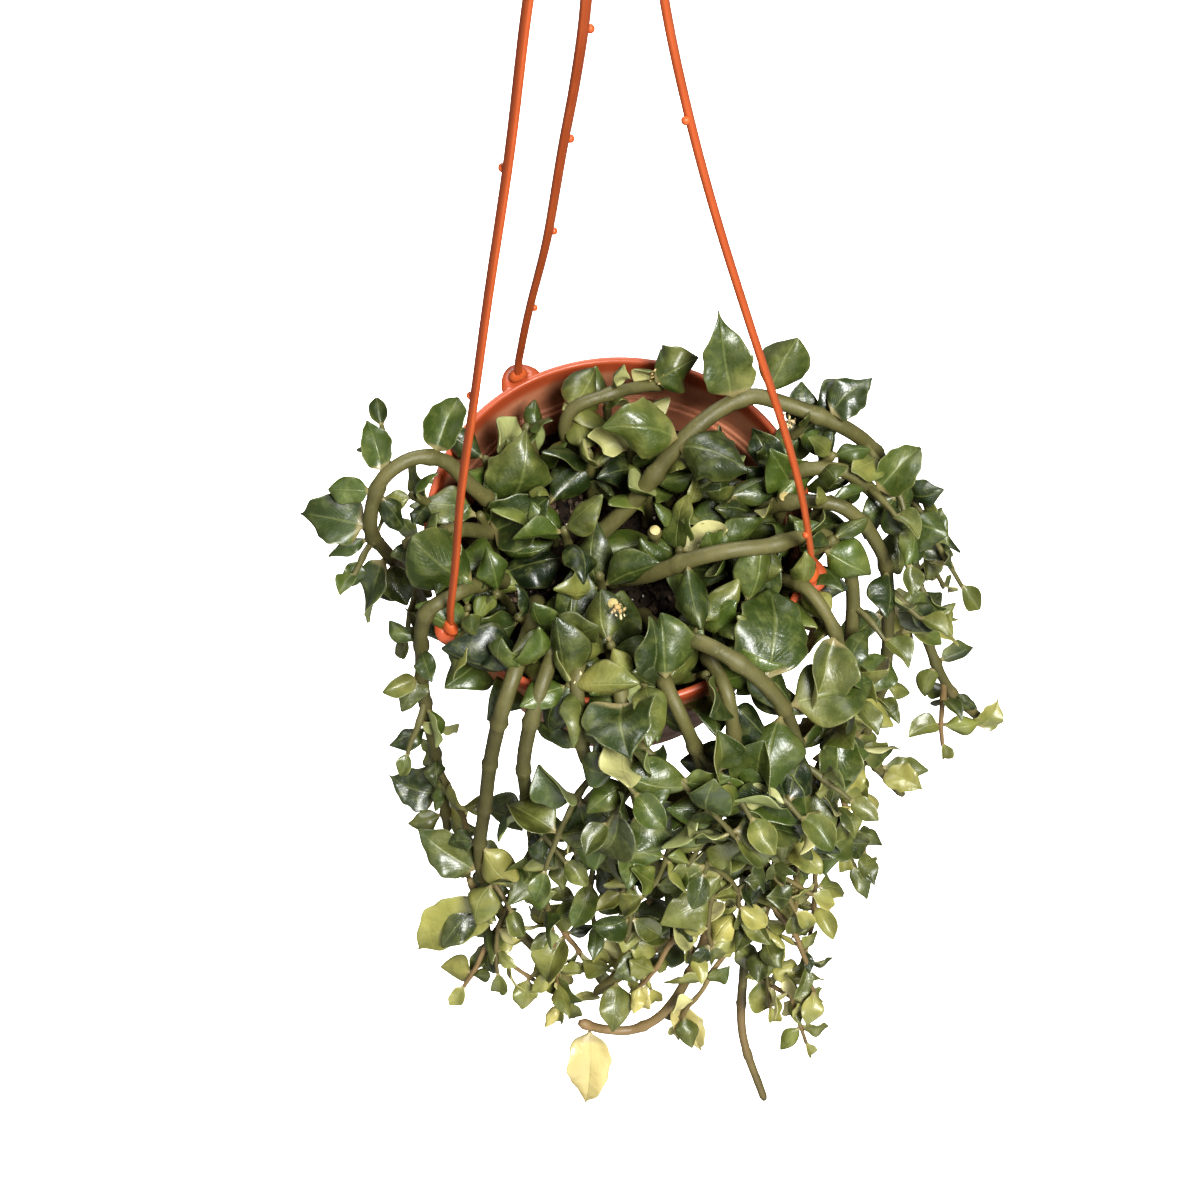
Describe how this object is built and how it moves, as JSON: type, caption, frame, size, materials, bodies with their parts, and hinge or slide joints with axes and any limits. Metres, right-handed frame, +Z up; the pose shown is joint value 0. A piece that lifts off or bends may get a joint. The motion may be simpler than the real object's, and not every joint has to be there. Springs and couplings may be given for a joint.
{
  "type": "potted parachute plant in a hanging pot",
  "caption": "Trailing fleshy-leaved vine in a terracotta-coloured plastic hanging pot with a moulded hook hanger whose arms clip into lugs on the rim.",
  "frame": {"origin": "seat of the hanger's hook, the underside of the hook's round, on the axis of the pot", "axes": "+Z up along the pot's axis, front of the pot towards -Y, +X to the right"},
  "size_m": [0.2574, 0.2114, 0.6711],
  "materials": {
    "pot_plastic": "satin moulded plastic, terracotta colour, a little paler and dustier outside",
    "hanger_plastic": "satin moulded plastic, orange terracotta",
    "soil": null,
    "stem": null,
    "leaf": null
  },
  "bodies": {
    "root": {"hanger_arm_left": "hanger_plastic", "hanger_arm_rear": "hanger_plastic", "hanger_arm_right": "hanger_plastic", "hanger_hook": "hanger_plastic", "leaf_back_left": "leaf", "leaf_back_right": "leaf", "leaf_bract": "leaf", "leaf_broad": "leaf", "leaf_bud": "leaf", "leaf_cream": "leaf", "leaf_crown": "leaf", "leaf_dark": "leaf", "leaf_drop": "leaf", "leaf_fan": "leaf", "leaf_folded": "leaf", "leaf_heart": "leaf", "leaf_lance": "leaf", "leaf_left_in": "leaf", "leaf_left_low": "leaf", "leaf_left_tip": "leaf", "leaf_left_up": "leaf", "leaf_long": "leaf", "leaf_long_low": "leaf", "leaf_oval": "leaf", "leaf_pale": "leaf", "leaf_point": "leaf", "leaf_right_low": "leaf", "leaf_right_mid": "leaf", "leaf_right_tip": "leaf", "leaf_right_up": "leaf", "leaf_round": "leaf", "leaf_saddle": "leaf", "leaf_shield": "leaf", "leaf_side": "leaf", "leaf_spoon": "leaf", "leaf_tooth": "leaf", "leaf_top": "leaf", "leaf_wing": "leaf", "pot": "pot_plastic", "soil": "soil", "stem_arch": "stem", "stem_bend": "stem", "stem_cut_left": "stem", "stem_diagonal": "stem", "stem_front": "stem", "stem_front_left": "stem", "stem_left": "stem", "stem_loop": "stem", "stem_low_tip": "stem", "stem_middle": "stem", "stem_rear": "stem", "stem_right": "stem", "stem_right_front": "stem", "stem_right_inner": "stem", "stem_short_front": "stem", "stem_sling": "stem"}
  },
  "joints": []
}
